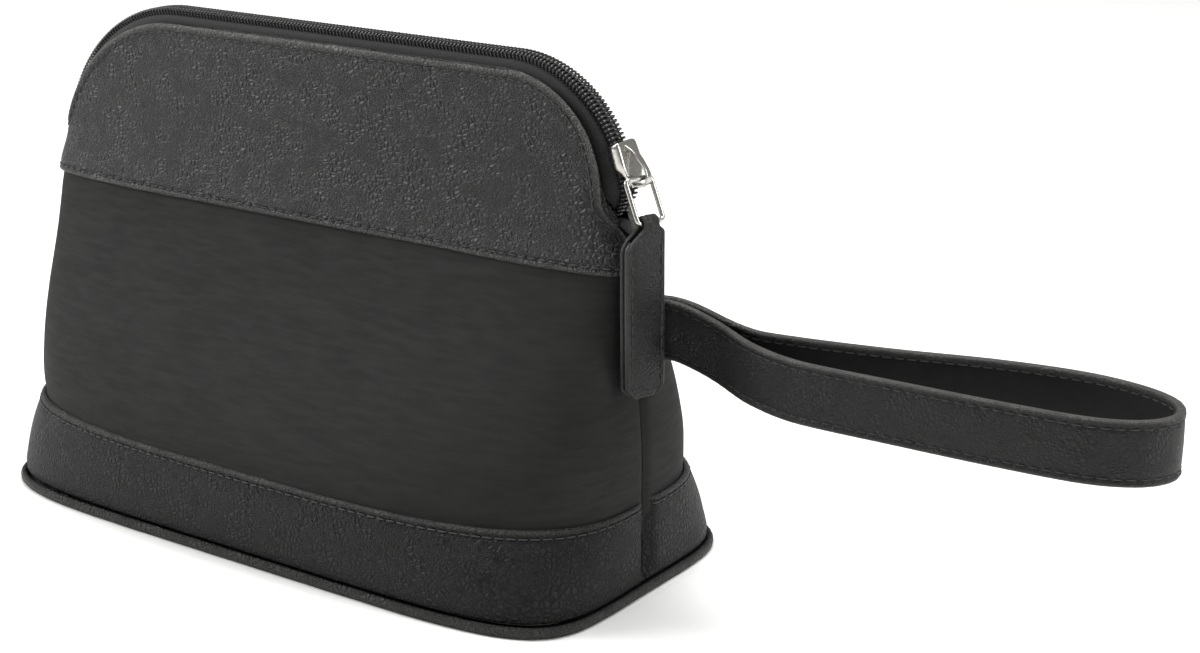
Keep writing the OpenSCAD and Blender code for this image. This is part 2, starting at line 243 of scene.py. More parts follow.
def normals_of(points, wrap_rows):
    """Unit normals of a grid [rows, cols, 3]."""
    if wrap_rows:
        padded = np.concatenate([points[-1:], points, points[:1]])
        dv = padded[2:] - padded[:-2]
    else:
        dv = np.gradient(points, axis=0)
    du = np.gradient(points, axis=1)
    n = np.cross(du, dv)
    return unit(n)


def tubes(paths, normals, radius, sides=6):
    """Many equal tubes as one mesh: paths and normals [tubes, points, 3], radius for each point."""
    t = unit(np.gradient(paths, axis=1))
    b = unit(np.cross(t, normals))
    n = np.cross(b, t)
    phi = np.arange(sides) * 2 * math.pi / sides
    ring = (n[:, :, None] * np.cos(phi)[:, None] + b[:, :, None] * np.sin(phi)[:, None])
    v = paths[:, :, None] + ring * np.asarray(radius)[None, :, None, None]
    count, k = paths.shape[:2]
    one = grid_faces(k, sides, wrap_cols=True)
    one.append(list(range(sides)))
    one.append([(k - 1) * sides + i for i in reversed(range(sides))])
    one = outward(one, v[0].reshape(-1, 3))
    faces = [[i + n_ * k * sides for i in f] for n_ in range(count) for f in one]
    return v.reshape(-1, 3), faces


def catmull(points, steps):
    """Smooth line through points."""
    p = np.asarray(points, float)
    p = np.concatenate([p[:1], p, p[-1:]])
    u = np.linspace(0, 1, steps, endpoint=False)[:, None]
    out = []
    for a, b, c, d in zip(p, p[1:], p[2:], p[3:]):
        out.append(0.5 * (2 * b + (c - a) * u + (2 * a - 5 * b + 4 * c - d) * u**2
                          + (3 * b - a - 3 * c + d) * u**3))
    return np.concatenate([*out, p[-1:]])


def evenly(line, spacing=None, count=None):
    """Points at even distances along a line, with their distances."""
    s = np.concatenate([[0], np.cumsum(np.linalg.norm(np.diff(line, axis=0), axis=1))])
    count = count or int(round(s[-1] / spacing)) + 1
    at = np.linspace(0, s[-1], count)
    return np.stack([np.interp(at, s, line[:, a]) for a in range(line.shape[1])], -1), at


def mirrored(side, verts, faces):
    """Front shapes as they are for side -1, mirrored to the back for side 1."""
    if side < 0:
        return verts, faces
    return verts * [1, -1, 1], [list(reversed(f)) for f in faces]


# ---- Materials ----

class Nodes:
    """A material's node tree, made with short calls."""

    def __init__(self, name):
        self.material = bpy.data.materials.new(name)
        self.material.use_nodes = True
        self.tree = self.material.node_tree
        self.shader = self.tree.nodes["Principled BSDF"]

    def add(self, kind, inputs=(), **settings):
        node = self.tree.nodes.new("ShaderNode" + kind)
        for key, value in settings.items():
            setattr(node, key, value)
        for key, value in dict(inputs).items():
            self.put(node.inputs[key], value)
        return node

    def put(self, socket, value):
        if isinstance(value, bpy.types.NodeSocket):
            self.tree.links.new(value, socket)
        else:
            socket.default_value = value

    def math(self, operation, *values, clamp=False):
        return self.add("Math", dict(enumerate(values)), operation=operation, use_clamp=clamp).outputs[0]

    def vector(self, operation, a, b):
        node = self.add("VectorMath", {0: a}, operation=operation)
        self.put(node.inputs["Scale" if operation == "SCALE" else 1], b)
        return node.outputs[0]

    def span(self, value, a, b, c=0.0, d=1.0):
        """value from a..b mapped smoothly to c..d."""
        inputs = {"Value": value, "From Min": a, "From Max": b, "To Min": c, "To Max": d}
        return self.add("MapRange", inputs, interpolation_type="SMOOTHSTEP").outputs[0]

    def noise(self, vector, scale, detail=2.0, rough=0.5):
        inputs = {"Vector": vector, "Scale": scale, "Detail": detail, "Roughness": rough}
        return self.add("TexNoise", inputs).outputs["Fac"]

    def cells(self, vector, scale):
        inputs = {"Vector": vector, "Scale": scale}
        return self.add("TexVoronoi", inputs, feature="DISTANCE_TO_EDGE").outputs["Distance"]

    def mix(self, factor, a, b):
        node = self.add("Mix", {"Factor": factor}, data_type="RGBA")
        for socket, value in ((node.inputs[6], a), (node.inputs[7], b)):
            self.put(socket, value if isinstance(value, bpy.types.NodeSocket) else (*value, 1.0))
        return node.outputs[2]

    def bump(self, height, distance, strength=1.0, normal=None):
        inputs = {"Height": height, "Distance": distance * MM, "Strength": strength}
        if normal is not None:
            inputs["Normal"] = normal
        return self.add("Bump", inputs).outputs[0]

    def millimetres(self):
        return self.add("Attribute", attribute_name="grain").outputs["Vector"]

    # Per-point amount of painted highlight along folds and edges, read from the mesh.
    def painted_highlight(self):
        return self.add("Attribute", attribute_name="painted_highlight").outputs["Fac"]

    def surface(self, colour, roughness, normal, **fixed):
        self.put(self.shader.inputs["Base Color"], colour)
        self.put(self.shader.inputs["Roughness"], roughness)
        self.put(self.shader.inputs["Normal"], normal)
        for key, value in fixed.items():
            self.shader.inputs[key.replace("_", " ")].default_value = value
        return self.material


def grey(value, warmth=0.0):
    return (value * (1 + warmth), value, value * (1 - warmth))


def pebbled_leather(name, cell, depth, dark, light, rough=0.5, highlight_grey=0.03, shine=0.36):
    """Grained leather: irregular pebbles with creases between them, pores, patches, painted shade in the
    creases, painted highlights on the pebble tops and a painted highlight along folds.
    """
    n = Nodes(name)
    p = n.millimetres()
    shift = n.add("TexNoise", {"Vector": p, "Scale": 0.55 / cell, "Detail": 2.0}).outputs["Color"]
    warped = n.vector("ADD", p, n.vector("SCALE", shift, cell * 0.4))
    large = n.span(n.cells(warped, 0.72 / cell), 0.0, 0.30)
    small = n.span(n.cells(warped, 1.55 / cell), 0.0, 0.26)
    patches = n.noise(p, 0.16, 3.0)
    share = n.span(patches, 0.40, 0.62)
    pebbles = n.add("Mix", {"Factor": share, 2: large, 3: small}).outputs[0]
    pores = n.noise(p, 4.2 / cell, 3.0, 0.65)
    height = n.math("ADD", pebbles, n.math("MULTIPLY", pores, 0.18))
    slack = n.noise(p, 0.22, 2.0)
    normal = n.bump(slack, 0.35, 0.6)
    normal = n.bump(height, depth, 0.9, normal)
    # Leather tone that varies in patches, with the creases between pebbles painted darker as shade and the
    # pebble tops painted lighter as highlight.
    colour = n.mix(n.math("MULTIPLY", pebbles, n.span(patches, 0.25, 0.75, 0.7, 1.0)), dark, light)
    # Painted highlight: where the mesh marks folds and edges, the colour goes towards a light grey, broken up
    # by the pores.
    colour = n.mix(n.math("MULTIPLY", n.painted_highlight(), n.span(pores, 0.3, 0.7)), colour, grey(highlight_grey, 0.03))
    roughness = n.math("SUBTRACT", n.span(pores, 0.2, 0.8, rough, rough + 0.14),
                       n.math("MULTIPLY", pebbles, 0.07))
    return n.surface(colour, roughness, normal, Specular_IOR_Level=shine)


def nappa_leather(name):
    """Smooth matte leather with fine level creases."""
    n = Nodes(name)
    p = n.millimetres()
    level = n.vector("MULTIPLY", p, (0.10, 0.10, 0.62))
    creases = n.noise(level, 1.0, 4.0, 0.62)
    long_creases = n.noise(n.vector("MULTIPLY", p, (0.035, 0.035, 0.20)), 1.0, 3.0)
    pores = n.span(n.cells(p, 1.7), 0.0, 0.28)
    normal = n.bump(long_creases, 0.22, 0.5)
    normal = n.bump(creases, 0.12, 0.6, normal)
    normal = n.bump(pores, 0.035, 0.8, normal)
    colour = n.mix(n.span(creases, 0.3, 0.7), (0.0155, 0.0155, 0.0151), (0.0195, 0.0195, 0.0190))
    # Painted highlight towards a light grey where the mesh marks folds and edges.
    colour = n.mix(n.math("MULTIPLY", n.painted_highlight(), 0.6), colour, grey(0.035, 0.02))
    roughness = n.span(creases, 0.25, 0.75, 0.80, 0.72)
    return n.surface(colour, roughness, normal, Specular_IOR_Level=0.13)


def woven(name, pitch, dark, light, rough, twill=0.0, sheen=0.0):
    """Cloth: threads over and under each other, at the given pitch."""
    n = Nodes(name)
    p = n.millimetres()
    x, y, z = n.add("SeparateXYZ", {0: p}).outputs[:3]
    turn = 2 * math.pi / pitch
    along = n.math("ADD", x, n.math("MULTIPLY", y, 1.0 if twill else 0.35))
    a = n.math("SINE", n.math("MULTIPLY", n.math("ADD", along, n.math("MULTIPLY", z, twill)), turn))
    b = n.math("SINE", n.math("MULTIPLY", n.math("SUBTRACT", z, n.math("MULTIPLY", along, twill)), turn))
    cross = n.math("MULTIPLY", a, b)
    fuzz = n.noise(p, 3.0 / pitch, 2.0)
    height = n.math("ADD", n.math("MULTIPLY", cross, 0.5), n.math("MULTIPLY", fuzz, 0.6))
    normal = n.bump(height, pitch * 0.22, 0.8)
    colour = n.mix(n.span(height, -0.3, 0.9), dark, light)
    roughness = n.span(fuzz, 0.2, 0.8, rough - 0.08, rough + 0.08)
    return n.surface(colour, roughness, normal, Sheen_Weight=sheen, Sheen_Roughness=0.5)


def thread(name, dark, light):
    """Twisted sewing thread."""
    n = Nodes(name)
    p = n.millimetres()
    x, y, z = n.add("SeparateXYZ", {0: p}).outputs[:3]
    twist = n.math("SINE", n.math("MULTIPLY", n.math("ADD", n.math("ADD", x, y), z), 14.0))
    normal = n.bump(twist, 0.05, 0.8)
    colour = n.mix(n.span(twist, -1.0, 1.0), dark, light)
    return n.surface(colour, n.span(twist, -1.0, 1.0, 0.62, 0.45), normal, Specular_IOR_Level=0.5)


def nylon(name):
    """Shiny drawn nylon of the zip's coil."""
    n = Nodes(name)
    p = n.millimetres()
    streaks = n.noise(n.vector("MULTIPLY", p, (1.0, 5.0, 5.0)), 1.0, 2.0)
    normal = n.bump(streaks, 0.02, 0.5)
    colour = n.mix(streaks, grey(0.003), grey(0.008))
    return n.surface(colour, n.span(streaks, 0.3, 0.7, 0.20, 0.36), normal, Specular_IOR_Level=0.6)


def nickel(name, tint, rough):
    """Plated metal with fine polishing lines and dull patches."""
    n = Nodes(name)
    p = n.millimetres()
    patches = n.noise(p, 0.9, 4.0, 0.6)
    lines = n.noise(n.vector("MULTIPLY", p, (0.8, 9.0, 0.8)), 1.0, 3.0)
    normal = n.bump(lines, 0.012, 0.35)
    normal = n.bump(patches, 0.05, 0.35, normal)
    colour = n.mix(n.span(patches, 0.35, 0.75), tint, tuple(c * 0.82 for c in tint))
    roughness = n.span(patches, 0.3, 0.75, rough, rough + 0.16)
    return n.surface(colour, roughness, normal, Metallic=1.0)


def board(name):
    """Grey pressed board with fibres."""
    n = Nodes(name)
    p = n.add("TexCoord").outputs["Object"]
    fibres = n.noise(n.vector("MULTIPLY", p, (900.0, 300.0, 900.0)), 1.0, 4.0)
    colour = n.mix(fibres, (0.24, 0.225, 0.20), (0.38, 0.36, 0.33))
    return n.surface(colour, n.span(fibres, 0.2, 0.8, 0.8, 0.95), n.bump(fibres, 0.08, 0.6))


def painted_edge(name):
    """Black edge paint on the cut stiffener."""
    n = Nodes(name)
    p = n.millimetres()
    lumps = n.noise(p, 1.4, 3.0)
    colour = n.mix(lumps, grey(0.010), grey(0.022))
    return n.surface(colour, n.span(lumps, 0.3, 0.7, 0.35, 0.5), n.bump(lumps, 0.08, 0.6))


# The seventh value of each leather is the grey of its painted highlight along folds and edges.
BAND = pebbled_leather("Pebbled_leather", 1.15, 0.30, grey(0.002), grey(0.0175), 0.43, 0.10)
FOOT = pebbled_leather("Foot_leather", 1.25, 0.32, grey(0.0015), grey(0.0120), 0.48, 0.10, shine=0.20)
NAPPA = nappa_leather("Smooth_leather")
TAB = pebbled_leather("Tab_leather", 1.0, 0.12, grey(0.003), grey(0.011), 0.44, 0.05, shine=0.28)
STRAP = pebbled_leather("Strap_leather", 0.85, 0.17, grey(0.003), grey(0.013), 0.46, 0.11, shine=0.28)
BACKING = pebbled_leather("Backing_leather", 0.6, 0.05, grey(0.002), grey(0.004), 0.62, 0.015, shine=0.2)
LINING = woven("Lining_cloth", 0.55, (0.006, 0.006, 0.007), (0.022, 0.022, 0.025), 0.62, sheen=0.05)
BINDING = woven("Seam_tape", 0.7, grey(0.010), grey(0.030), 0.8, twill=0.5)
TAPE = woven("Zip_tape", 0.75, grey(0.002), grey(0.010), 0.75, twill=0.6)
THREAD = thread("Black_thread", grey(0.008), grey(0.045))
NYLON = nylon("Nylon_coil")
NICKEL = nickel("Nickel_plating", (0.50, 0.488, 0.455), 0.13)
BOARD = board("Stiffener_board")
EDGE = painted_edge("Painted_edge")


# ---- Surface relief shared by everything that lies on a wall ----

def slack(p):
    """How far the leather stands out of the plain wall, for points of the front wall."""
    grow = ease(3, 14, p[..., 2])
    return grow * (0.42 * ripple(p, 38, 1) + 0.17 * ripple(p, 15, 2) + 0.05 * ripple(p, 6, 3))


def middle_slack(p):
    level = 0.045 * ripple(p, (30, 30, 7), 5) + 0.02 * ripple(p, (14, 14, 3), 6)
    return 0.45 + 0.5 * ripple(p, (52, 52, 34), 4) + level


PITCH = 3.3               # from one stitch to the next
STITCH = 2.55             # length of a stitch


def groove(distance, along, depth=0.20, width=0.55):
    """Relief of a sewn line: a groove that is deepest where the thread goes in."""
    holes = 0.62 + 0.38 * np.cos(2 * math.pi * along / PITCH)
    return -depth * holes * np.exp(-(distance / width) ** 2)


def seam_crease(from_seam, depth, width):
    return depth * np.exp(-(from_seam / width) ** 2) + 0.35 * depth * np.exp(-from_seam / (2.2 * width))


COLUMNS = np.linspace(0, 1, 421)
COLUMNS = COLUMNS - 0.028 * np.sin(2 * math.pi * COLUMNS)      # closer together at the two seams


def wall_panel(name, side, outer, inner, relief, crease, material, slot, painted_highlight=None):
    """A layer of the wall as a closed shell; outer and inner are (height, depth) pairs from the foot up."""
    profile = np.array(list(outer) + list(reversed(inner)), float)
    z, d = profile[:, 0], profile[:, 1]
    shown = np.concatenate([np.ones(len(outer)), np.zeros(len(inner))])
    angles, lengths = row_angles(z, COLUMNS)
    along = COLUMNS[None] * lengths[:, None]
    from_seam = np.minimum(along, lengths[:, None] - along)
    dent = crease(from_seam, z[:, None]) if crease else 0.0
    points = wall(angles, z[:, None], d[:, None] + dent)
    normal = normals_of(points, True)
    facing = np.sign(np.sum(normal[len(outer) // 2, 200] * [0, -1, 0]))
    points = points + facing * normal * (shown[:, None] * relief(points, along, z[:, None]))[..., None]
    verts = points.reshape(-1, 3)
    m = len(COLUMNS)
    faces = grid_faces(len(z), m, wrap_rows=True)
    faces.append([i * m for i in range(len(z))])
    faces.append([i * m + m - 1 for i in reversed(range(len(z)))])
    faces = outward(faces, verts)
    # Painted highlight amount for the outside rows, given as a function of height.
    amount = None if painted_highlight is None else painted_highlight(z)[:, None] * np.ones(m) * shown[:, None]
    verts, faces = mirrored(side, verts, faces)
    return finish_mesh(name, verts, faces, material, slot,
                       painted_highlight=None if amount is None else amount.ravel())


def surface_line(z, depth):
    """A level line on the front wall as a function of the distance along it, with its length."""
    fine = np.linspace(0, 1, 1201)
    angles, lengths = row_angles(np.array([z]), fine)
    points = wall(angles[0], np.full(len(fine), z), depth)
    return points, fine * lengths[0], lengths[0]


def stitches_on(points, along, normals, start, end, radius=0.23, lift=0.12):
    """Stitch paths along a line given by dense points, their distances and surface normals."""
    count = int((end - start) / PITCH)
    first = start + (end - start - count * PITCH) / 2
    shape = np.array([-0.5, -0.46, -0.3, 0.0, 0.3, 0.46, 0.5])
    height = np.array([-0.34, -0.1, 0.06, 0.12, 0.06, -0.1, -0.34]) + lift - 0.12
    at = first + PITCH * (np.arange(count)[:, None] + 0.5) + STITCH * shape[None]
    p = np.stack([np.interp(at, along, points[:, a]) for a in range(3)], -1)
    n = np.stack([np.interp(at, along, normals[:, a]) for a in range(3)], -1)
    n = unit(n)
    return p + n * height[None, :, None], n, radius * np.array([0.55, 0.9, 1, 1, 1, 0.9, 0.55])


def wall_normals(z, depth, points):
    above = surface_line(z + 0.4, depth)[0]
    below = surface_line(z - 0.4, depth)[0]
    n = unit(np.cross(np.gradient(points, axis=0), above - below))
    return n * np.sign(np.sum(n[600] * [0, -1, 0]))


def level_stitches(name, side, z, depth, relief, crease):
    """A row of stitches round one wall at a height."""
    points, along, length = surface_line(z, depth)
    from_seam = np.minimum(along, length - along)
    dent = crease(from_seam, np.array(z))
    normals = wall_normals(z, depth, points)
    points = points - normals * dent[:, None] * ease(6, 0, from_seam)[:, None]
    points = points + normals * relief(points)[:, None]
    p, n, r = stitches_on(points, along, normals, 2.0, length - 2.0)
    verts, faces = mirrored(side, *tubes(p, n, r))
    return finish_mesh(name, verts, faces, THREAD, "binding")


# ---- Camera, lights and floor ----

camera = bpy.data.objects.new("Camera", bpy.data.cameras.new("Camera"))
bpy.context.scene.collection.objects.link(camera)
bpy.context.scene.camera = camera
camera.data.lens = 65.0
camera.data.sensor_width = 36.0
camera.location = (0.42240, -0.46587, 0.25741)
look = Vector((-0.54917, 0.77846, -0.30400))
camera.rotation_mode = "QUATERNION"
roll = Quaternion((0, 0, 1), math.radians(-0.22))
camera.rotation_quaternion = look.to_track_quat("-Z", "Y") @ roll


def area_light(name, place, target, size, power, colour=(1, 1, 1)):
    data = bpy.data.lights.new(name, "AREA")
    data.shape = "RECTANGLE"
    data.size, data.size_y = size
    data.energy = power
    data.color = colour
    light = bpy.data.objects.new(name, data)
    light.location = place
    light.rotation_mode = "QUATERNION"
    light.rotation_quaternion = (Vector(target) - Vector(place)).to_track_quat("-Z", "Y")
    bpy.context.scene.collection.objects.link(light)


area_light("Softbox_left", (-1.15, -0.60, 0.85), (-0.02, 0, 0.08), (0.8, 0.8), 21)
area_light("Softbox_top", (0.0, 0.30, 1.35), (0, 0, 0.05), (1.2, 0.7), 21)
area_light("Softbox_right", (1.25, 0.25, 0.55), (0.05, 0, 0.06), (0.4, 0.9), 10)

world = bpy.data.worlds.new("Studio")
bpy.context.scene.world = world
world.use_nodes = True
world.node_tree.nodes["Background"].inputs["Color"].default_value = (1.0, 1.0, 0.985, 1)
world.node_tree.nodes["Background"].inputs["Strength"].default_value = 0.36
bpy.context.scene.view_settings.view_transform = "Standard"


def make_floor():
    n = Nodes("Pale_floor")
    p = n.add("TexCoord").outputs["Object"]
    mottle = n.noise(p, 6.0, 3.0)
    colour = n.mix(mottle, (0.90, 0.90, 0.885), (0.93, 0.93, 0.915))
    n.surface(colour, n.span(mottle, 0.3, 0.7, 0.6, 0.7), n.bump(n.noise(p, 900.0), 0.02, 0.2))
    mesh = bpy.data.meshes.new("Floor")
    rim = [(6 * math.cos(a * math.pi / 32), 6 * math.sin(a * math.pi / 32), -0.0002) for a in range(64)]
    mesh.from_pydata(rim, [], [list(range(64))])
    mesh.materials.append(n.material)
    floor = bpy.data.objects.new("Floor", mesh)
    bpy.context.scene.collection.objects.link(floor)


make_floor()


# ---- Foot: bottom panel, its lining and the lip round it ----

def foot_outline(inset, z, count=300):
    q = 2 / squareness(0.0)
    t = np.concatenate([np.linspace(0, 1, 200, endpoint=False) * math.pi / 2 + k * math.pi / 2
                        for k in range(4)] + [[2 * math.pi]])
    fold = (t / (math.pi / 2)) % 1
    fold = fold**3 / (fold**3 + (1 - fold) ** 3)
    t = (np.floor(t / (math.pi / 2)) + fold) * math.pi / 2
    c, s = np.cos(t), np.sin(t)
    line = np.stack([np.sign(c) * (FOOT_LEN - inset) * np.abs(c) ** q,
                     np.sign(s) * (FOOT_DEP - inset) * np.abs(s) ** q, np.full_like(t, z)], -1)
    return evenly(line, count=count + 1)[0][:-1]


def flat_shape(name, profile, material, slot, body, *nodes, relief=None):
    """A closed shape from rings of the foot's outline: profile is (inset, height) pairs."""
    rings = np.array([foot_outline(i, z) for i, z in profile])
    if relief:
        rings[..., 2] += relief(rings)
    obj = finish_mesh(name, *loop_solid(rings), material, slot)
    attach(obj, body)
    if nodes:
        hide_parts(*nodes)
    return obj


flat_shape("bottom_panel", [(40, 0.15), (12, 0.1), (4, 0.05), (2.4, 0.0), (1.7, 0.2), (1.35, 0.7),
                            (1.35, 1.3), (1.6, 1.55), (20, 1.6)],
           FOOT, "grain_leather", "bag", "base_panel")
flat_shape("bottom_lining", [(4, 3.2), (3.5, 3.35), (3.6, 3.75), (5, 3.85), (15, 3.8), (32, 3.8)],
           LINING, "lining", "bag", "base_lining",
           relief=lambda p: 0.35 * ripple(p, 30, 11) * ease(-99, -70, -np.abs(p[..., 0])))


def make_lip():
    profile = [(1.15, 0.35), (0.9, 0.05), (0.0, 0.0), (-0.45, 0.12), (-0.74, 0.6), (-0.8, 1.3), (-0.74, 2.1),
               (-0.45, 2.8), (-0.05, 3.12), (0.35, 3.1), (0.75, 2.7), (1.15, 2.2)]
    rings = np.array([foot_outline(i, z, 420) for i, z in profile])
    along = np.linspace(0, 640, 420)
    rings += (ripple(rings, 9, 12) * 0.09)[..., None] * np.array([1, 1, 0])
    rings[4:8, :, :2] *= 1 - 0.0006 * np.cos(2 * math.pi * along / PITCH)[None, :, None]
    m = rings.shape[1]
    verts = rings.reshape(-1, 3)
    faces = outward(grid_faces(len(profile), m, wrap_rows=True, wrap_cols=True), verts)
    # Painted highlight on the lip's outer rounding.
    painted_highlight = np.repeat([0, 0, 0, 0.3, 0.8, 1, 0.8, 0.5, 0.2, 0, 0, 0], m) * 0.5
    lip = finish_mesh("bottom_lip", verts, faces, FOOT, "grain_leather", painted_highlight=painted_highlight)
    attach(lip, "bag")
    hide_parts("base_welt")


make_lip()
frame["nodes"]["base_board"].data.materials.clear()
frame["nodes"]["base_board"].data.materials.append(BOARD)


# ---- Walls ----

def no_dent(from_seam, z):
    return 0.0 * from_seam * z


def foot_crease(from_seam, z):
    return seam_crease(from_seam, 2.1, 2.6) * ease(2.5, 7, z) + 0.5 * ease(7, 3.5, z)


def middle_crease(from_seam, z):
    return seam_crease(from_seam, 1.0 + 0 * z, 1.5)


def top_crease(from_seam, z):
    return seam_crease(from_seam, 1.2, 1.7) * ease(101, 97, z)


FOOT_SEWN = FOOT_Z - 2.0
TOP_SEWN = TOP_Z + 1.9


def foot_relief(p, along, z):
    fold = 0.30 * np.exp(-((z - FOOT_Z + 0.8) / 0.7) ** 2)
    return slack(p) + fold + groove(z - FOOT_SEWN, along, 0.26, 0.5)


def top_relief(p, along, z):
    fold = 0.26 * np.exp(-((z - TOP_Z - 0.8) / 0.7) ** 2)
    return slack(p) + fold + groove(z - TOP_SEWN, along, 0.26, 0.5)


def middle_relief(p, along, z):
    near = np.exp(-((z - FOOT_Z - 1) / 2.2) ** 2) + np.exp(-((TOP_Z - 1 - z) / 2.2) ** 2)
    return slack(p) * 0.9 + middle_slack(p) * (1 - 0.5 * near)


def linspace_pairs(z0, z1, d, count):
    return [(z, d) for z in np.linspace(z0, z1, count)]


SKIN = 1.2                # thickness of the bands' leather
UNDER = 1.3               # depth of the middle leather under their outside


def wall_pieces(side):
    face = "front" if side < 0 else "back"
    foot_outer = ([(3.45, 1.05), (3.3, 0.7), (3.5, 0.25), (4.0, 0.0)] + linspace_pairs(4.8, 24.0, 0.0, 20)
                  + linspace_pairs(24.5, 27.0, 0.0, 9) + [(27.3, 0.12), (27.52, 0.38), (27.6, 0.7)])
    foot_inner = [(z, SKIN) for z in (3.7, 10, 16, 22, 26.6)] + [(27.4, 1.05)]
    # Painted highlight along the fold at the upper edge of the foot band.
    foot = wall_panel(face + "_foot_band", side, foot_outer, foot_inner, foot_relief, foot_crease, FOOT,
                      "grain_leather", painted_highlight=lambda z: 0.5 * np.exp(-((z - FOOT_Z + 0.3) / 0.8) ** 2))
    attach(foot, "bag")
    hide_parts(face + "_foot_band")
    middle_outer = linspace_pairs(22.7, 98.8, UNDER, 100)
    middle_inner = linspace_pairs(22.7, 98.8, UNDER + 1.1, 12)
    middle = wall_panel(face + "_middle_leather", side, middle_outer, middle_inner, middle_relief,
                        middle_crease, NAPPA, "smooth_leather")
    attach(middle, "bag")
    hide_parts(face + "_middle_panel")
    climb = [TOP_Z + 8 + (EDGE_TOP - 0.02 - TOP_Z - 8) * math.sin(a) for a in np.linspace(0, math.pi / 2, 48)]
    top_outer = ([(94.05, 1.1), (93.9, 0.7), (93.97, 0.38), (94.2, 0.12)] + linspace_pairs(94.5, 97.0, 0.0, 9)
                 + linspace_pairs(97.8, TOP_Z + 7, 0.0, 5) + [(z, 0.0) for z in climb])
    top_inner = [(z, SKIN) for z in (94.4, 98, 104, 111, *climb[12::7])]
    # Painted highlight along the fold at the lower edge of the top band.
    top = wall_panel(face + "_top_leather", side, top_outer, top_inner, top_relief, top_crease, BAND,
                     "grain_leather", painted_highlight=lambda z: 0.5 * np.exp(-((z - TOP_Z - 0.3) / 0.8) ** 2))
    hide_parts(face + "_top_band", face + "_top_band_mouth")
    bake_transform(top)
    for name, z, crease in (("foot", FOOT_SEWN, foot_crease), ("top", TOP_SEWN, top_crease)):
        seam = level_stitches(face + "_" + name + "_stitches", side, z, 0.0, slack, crease)
        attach(seam, "bag")


for side in (-1, 1):
    wall_pieces(side)


# ---- The mouth's turned edge: a rolled strip along the arch of each top band ----

def wall_depth(x, z):
    """Distance of the wall's face from the middle plane at a place on it."""
    reach = np.where(x > 0, right_len(z), left_len(z))
    n = squareness(z)
    inner = mouth(z)
    rest = np.maximum(0, 1 - np.minimum(1, np.abs(x) / reach) ** n)
    return inner + (half_depth(z) - inner) * rest ** (1 / n)


def arch_line():
    """The mouth's edge in the XZ plane, from the right end of the opening over to the left, evenly spaced."""
    start = 98.6
    z = start + (EDGE_TOP - start) * np.sin(np.linspace(0, math.pi / 2, 500))
    right = np.stack([right_len(z), z], -1)
    left = np.stack([-left_len(z), z], -1)[::-1]
    return evenly(np.concatenate([right, left]), spacing=0.9)


def between(at, known, values):
    """Each row of values [rows, count, 3], known at some distances, read at others."""
    rows = [[np.interp(at, known[i], values[i, :, a]) for a in range(3)] for i in range(len(values))]
    return np.array(rows).transpose(0, 2, 1)


def arch_sections(insets):
    """Points on the wall at given distances in from the arch's edge: [along, insets, 3]."""
    line, along = arch_line()
    tangent = unit(np.gradient(line, axis=0))
    inward_ = np.stack([-tangent[:, 1], tangent[:, 0]], -1)
    rho = 9.0 * np.linspace(0, 1, 120) ** 3
    x = line[:, None, 0] + inward_[:, None, 0] * rho
    z = line[:, None, 1] + inward_[:, None, 1] * rho
    p = np.stack([x, -wall_depth(x, z), z], -1)
    steps = np.linalg.norm(np.diff(p, axis=1), axis=-1)
    s = np.concatenate([np.zeros((len(p), 1)), np.cumsum(steps, axis=1)], 1)
    return between(insets, s, p), along


def arch_normals(sections):
    n = unit(np.cross(np.gradient(sections, axis=0), np.gradient(sections, axis=1)))
    middle = n[len(n) // 2, -1]
    return n * np.sign(np.dot(middle, [0, -1, 0]))


EDGE_SEWN = 2.9           # distance of the stitches from the mouth's edge


def rolled_edge(side):
    section = np.array([
        (4.1, -0.30), (3.6, 0.0), (3.25, 0.0), (2.9, -0.06), (2.6, 0.12), (2.2, 0.30), (1.7, 0.40),
        (1.2, 0.42), (0.75, 0.34), (0.35, 0.16), (0.08, -0.10), (0.0, -0.40), (0.05, -0.75), (0.3, -1.05),
        (0.8, -1.2), (2.0, -1.15), (3.6, -0.9)])
    grid = np.array([0.0, 0.05, 0.12, 0.25, 0.45, 0.7, 1.0, 1.4, 1.9, 2.5, 3.2, 4.2])
    sections, along = arch_sections(grid)
    normals = arch_normals(sections)
    normals[:, :4] = 0.5 * normals[:, :4] + 0.5 * normals[:, 5:6]
    normals = unit(normals)
    e, h = section.T
    known = [grid] * len(sections)
    base = between(e, known, sections)
    n = between(e, known, normals)
    shown = h > -0.2
    pucker = 0.06 * np.cos(2 * math.pi * along / PITCH)[:, None] * np.exp(-((e - 2.3) / 0.8) ** 2) * shown
    lumps = 0.10 * ripple(base, 7, 8)
    points = base + n * (h + slack(base) * 0.95 - pucker + lumps * shown)[..., None]
    verts, faces = loop_solid(points)
    # Painted highlight along the top of the roll.
    painted_highlight = np.tile(np.exp(-((e - 0.8) / 0.9) ** 2) * (h > 0) * 0.9, len(points))
    return (*mirrored(side, verts, faces), painted_highlight)


def rolled_pieces(side):
    face = "front" if side < 0 else "back"
    verts, faces, painted_highlight = rolled_edge(side)
    roll = finish_mesh(face + "_mouth_fold", verts, faces, BAND, "grain_leather", painted_highlight=painted_highlight)
    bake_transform(roll)
    sections, along = arch_sections(np.array([EDGE_SEWN - 0.3, EDGE_SEWN, EDGE_SEWN + 0.3]))
    normals = arch_normals(sections)[:, 1]
    line = sections[:, 1]
    line = line + normals * (slack(line) * 0.95)[:, None]
    p, n, r = stitches_on(line, along, normals, 3, along[-1] - 3)
    seam = finish_mesh(face + "_mouth_stitches", *mirrored(side, *tubes(p, n, r)), THREAD, "binding")
    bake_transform(seam)


for side in (-1, 1):
    rolled_pieces(side)


# ---- Zip: tape and coil along the arch ----

